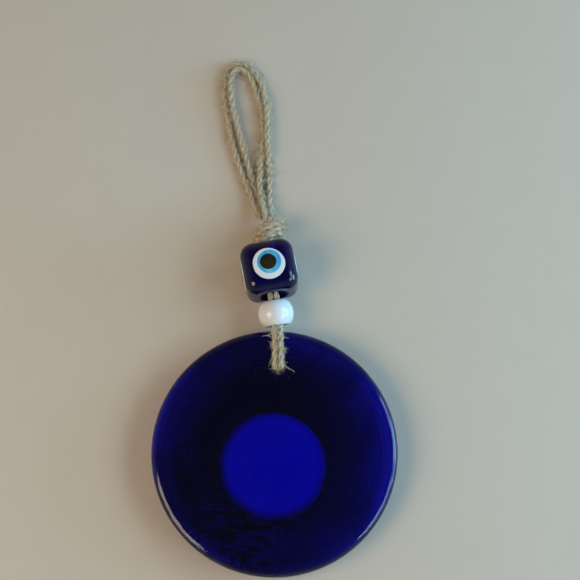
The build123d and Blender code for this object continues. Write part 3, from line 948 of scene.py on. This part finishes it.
class ORNAMENT_OT_cube_bead(bpy.types.Operator):
    """Cast the soft cobalt cube and set an eye into each of its four sides"""
    bl_idname = "ornament.cube_bead"
    bl_label = "Cube Bead"

    def execute(self, context):
        centre = mm(*CUBE_CENTRE)
        along, right, up = lean(CUBE_LEAN), beside(CUBE_LEAN), Vector((0, 0, 1))
        half, corner, cuts = 0.0089, 0.0042, 28
        bm = bmesh.new()
        bmesh.ops.create_cube(bm, size=2 * half)
        bmesh.ops.subdivide_edges(bm, edges=bm.edges, cuts=cuts, use_grid_fill=True)
        inner = half - corner
        for vert in bm.verts:
            core = Vector([max(-inner, min(inner, c)) for c in vert.co])
            off = vert.co - core
            place = core + off.normalized() * corner
            vert.co = centre + right * place.x + along * place.y + up * place.z
        body = bpy.data.meshes.new("cube_body")
        bm.to_mesh(body)
        bm.free()
        bore, mouth, reach = 0.0042, 0.0009, 0.0012
        tunnel = [(0, -half - reach), (bore + mouth + reach, -half - reach)]
        tunnel += [(bore, mouth - half), (bore, half - mouth)]
        tunnel += [(bore + mouth + reach, half + reach), (0, half + reach)]
        cutters = [lathe(tunnel, 64, centre, along, right)]
        sides = {"top": up, "right": right, "bottom": -up, "left": -right}
        floor, above = half - 0.0007, half + 0.002
        seat = [(0, floor), (0.00542, floor), (0.0055, above), (0, above)]
        cutters += [lathe(seat, 64, centre, out, along) for out in sides.values()]
        mesh = smooth_mesh(carved(body, cutters), 32)
        new_piece("cube_body", mesh, material_of("bead_cobalt_glass", cube_cobalt), "cube_bead",
                  ["cube_bead"])
        for number, (side, out) in enumerate(sides.items()):
            self.eye(side, number, centre + out * half, out, along)
        return {"FINISHED"}

    def eye(self, side, number, seat, out, along):
        """One hand-laid eye: a white dot, a blue ring that is off centre and a dark pupil."""
        across = out.cross(along)
        layers = (  # kind, radius, floor, shift ahead and aside, height, glass, slot
            ("white", 0.00535, -0.0007, 0.0, 0.0, 0.0, "milk_glass", milk_glass, "white_glass"),
            ("blue", 0.00405, -0.0003, 0.00055, -0.00025, 0.00007, "azure_glass", azure_glass,
             "light_blue_glass"),
            ("pupil", 0.00275, 0.0, 0.00060, 0.00012, 0.00014, "pupil_glass", pupil_glass,
             "dark_glass"),
        )
        for layer, entry in enumerate(layers):
            kind, radius, floor, ahead, aside, proud, material, build, slot = entry

            def uneven(turn, phase=number * 1.7 + layer * 2.3):
                return 1 + 0.012 * math.sin(2 * turn + phase) + 0.008 * math.sin(3 * turn - phase)

            rim, rings = 0.00016, 14
            profile = [(0, floor), (radius, floor)]
            profile += arc((radius - rim, proud - rim), rim, 0, 90, 5)
            profile += [((radius - rim) * (1 - k / rings), proud) for k in range(1, rings + 1)]
            mesh = lathe(profile, 72, seat + along * ahead + across * aside, out, along, uneven)
            self.dome(mesh, seat, out, floor)
            new_piece(f"cube_{side}_{kind}", smooth_mesh(mesh, 50),
                      material_of(material, build), "cube_bead",
                      [f"cube_eye_{side}_{kind}"])

    def dome(self, mesh, seat, out, floor):
        """Raises a flat-topped layer to the low dome that all of one eye's layers share."""
        edge, rise, drop, skin = 0.0054, 0.00030, 0.00022, 0.00001
        ball = (edge**2 + drop**2) / (2 * drop)
        for vert in mesh.vertices:
            off = vert.co - seat
            height = off.dot(out)
            if height > floor + skin:
                reach = (off - out * height).length
                vert.co += out * (rise - ball + math.sqrt(ball**2 - reach**2))


class ORNAMENT_OT_sling(bpy.types.Operator):
    """Run the two twines from the knot through the beads and round the disc's rim"""
    bl_idname = "ornament.sling"
    bl_label = "Sling Twines"

    def execute(self, context):
        dressed = material_of("jute", jute)
        for number, (side, across) in enumerate((("left", -PACK), ("right", PACK))):
            points = spline_points(self.route(across))
            mesh = twine_mesh(f"sling_{side}", [points], dressed, 1.3 + number * 2.1)
            piece = new_piece(f"jute_sling_{side}", mesh, dressed, None,
                              [f"sling_twine_{side}", f"stem_strand_{side}_upper",
                               f"stem_strand_{side}_lower"])
            seen = points[self.outside(points, HAIRS_END_Y)]
            loose = hairy(f"sling_{side}", [seen], dressed, 31 + number, 0.9)
            for part in (piece, *loose):
                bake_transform(part)
        return {"FINISHED"}

    def outside(self, points, mouth):
        """The part of the way round that lies below the white bead."""
        below = [k for k, p in enumerate(points) if p.y < mouth]
        return slice(below[0], below[-1] + 1)

    def route(self, across):
        """The twine's whole way round, from inside the knot and back into it."""
        gap = across * SLING_SQUEEZE

        def over(along, sideways, height):
            level = HOLE / MM + lean(SLING_LEAN) * along + beside(SLING_LEAN) * sideways
            return (level.x, level.y, height)

        def in_bead(raised, along):
            axis = lean(BEAD_LEAN, BEAD_PITCH)
            lift = beside(BEAD_LEAN).cross(axis)
            return tuple(Vector(BEAD_CENTRE) + beside(BEAD_LEAN) * across + lift * raised
                         + axis * along)

        def strand(raised):
            offset = beside(CUBE_LEAN) * across + Vector((0, 0, raised))
            return [tuple(Vector(p) + offset) for p in
                    ((-2.35, 51.1, 7.42), (-4.3, 60.3, 8.5), (-5.9, 70.6, 7.4))]

        upper, lower = strand(PACK), strand(-PACK)
        down = [in_bead(PACK, 0.0), over(14.4, across, 7.05), over(12.2, gap, 10.9),
                over(11.0, gap, 11.1), over(5.0, gap, 11.05), over(1.2, gap, 11.1),
                over(-0.1, gap, 11.1), over(-0.1, gap, 9.0)]
        back = [over(-0.1, gap, 3.1), over(-0.1, gap, 1.05), over(1.2, gap, 1.05),
                over(6.0, gap, 1.05), over(11.0, gap, 1.05), over(12.4, gap, 1.25),
                over(14.7, across, 5.05), in_bead(-PACK, 0.0)]
        return upper[::-1] + down + back + lower


class ORNAMENT_OT_knot(bpy.types.Operator):
    """Tie the overhand knot above the cube"""
    bl_idname = "ornament.knot"
    bl_label = "Knot"

    def execute(self, context):
        dressed = material_of("jute", jute)
        strands = [spline_points(route) for route in self.wraps()]
        mesh = twine_mesh("knot_wraps", strands, dressed, 0.6)
        new_piece("jute_knot", mesh, dressed, "stem", ["knot"])
        for part in hairy("knot", strands[:4], dressed, 57, 0.8):
            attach(part, "stem")
        return {"FINISHED"}

    def wraps(self):
        """Four twines side by side, taken a little over once round their own standing parts."""
        centre = Vector(KNOT_CENTRE)
        along, right, up = lean(KNOT_LEAN), beside(KNOT_LEAN), Vector((0, 0, 1))
        points, half_length = 13, 4.1
        routes = []
        for k in range(4):
            lane = k - 1.5
            route = []
            for turn in range(points):
                angle = math.radians(205 - turn * 34)
                over = math.cos(angle)
                rise = 2.9 * over + lane * 1.35 - 0.2 + 0.5 * math.sin(2.1 * k + turn * 0.9)
                reach = 4.85 - 0.42 * abs(lane) + 0.25 * math.sin(1.3 * turn + 2.4 * k)
                if turn in (0, points - 1):
                    reach *= 0.5
                route.append(tuple(centre + right * over * reach
                                   + up * math.sin(angle) * reach * 0.93
                                   + along * max(-half_length, min(half_length, rise))))
            routes.append(route)
        core = [(-5.9, 70.0, 7.2), (-5.6, 73.0, 6.6), (-5.3, 76.5, 5.6), (-5.6, 80.4, 4.6)]
        for sideways, raised in ((-1, 1), (1, 1), (1, -1), (-1, -1)):
            routes.append([(x + sideways, y, z + raised) for x, y, z in core])
        return routes


class ORNAMENT_OT_hanger(bpy.types.Operator):
    """Lay the hanging loop's two twines"""
    bl_idname = "ornament.hanger"
    bl_label = "Hanging Loop"

    def execute(self, context):
        dressed = material_of("jute", jute)
        for number, (side, route) in enumerate(HANGER_ROUTES.items()):
            points = spline_points(route)
            mesh = twine_mesh(f"loop_{side}", [points], dressed, 0.4 + number * 1.9)
            piece = new_piece(f"jute_loop_{side}", mesh, dressed, None,
                              [f"hanger_twine_{side}"])
            loose = hairy(f"loop_{side}", [points], dressed, 11 + number)
            for part in (piece, *loose):
                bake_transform(part)
        return {"FINISHED"}


class ORNAMENT_PT_panel(bpy.types.Panel):
    """Lists the ornament's pieces and sizes"""
    bl_label = "Ornament"
    bl_idname = "ORNAMENT_PT_panel"
    bl_space_type = "VIEW_3D"
    bl_region_type = "UI"
    bl_category = "Ornament"

    def draw(self, context):
        for group in (context.scene.ornament_sizes, context.scene.ornament_colours):
            box = self.layout.box()
            for name in group.__annotations__:
                box.prop(group, name)
        for operator in OPERATORS:
            self.layout.operator(operator.bl_idname)


OPERATORS = (
    ORNAMENT_OT_stage,
    ORNAMENT_OT_hanger,
    ORNAMENT_OT_sling,
    ORNAMENT_OT_knot,
    ORNAMENT_OT_disc,
    ORNAMENT_OT_white_bead,
    ORNAMENT_OT_cube_bead,
)
CLASSES = (UserSizes, UserColours, *OPERATORS, ORNAMENT_PT_panel)


def register():
    for kind in CLASSES:
        bpy.utils.register_class(kind)
    bpy.types.Scene.ornament_sizes = PointerProperty(type=UserSizes)
    bpy.types.Scene.ornament_colours = PointerProperty(type=UserColours)


def unregister():
    del bpy.types.Scene.ornament_colours
    del bpy.types.Scene.ornament_sizes
    for kind in reversed(CLASSES):
        bpy.utils.unregister_class(kind)


def main():
    register()
    for kind in OPERATORS:
        group, name = kind.bl_idname.split(".")
        getattr(getattr(bpy.ops, group), name)()


if __name__ == "__main__":
    main()
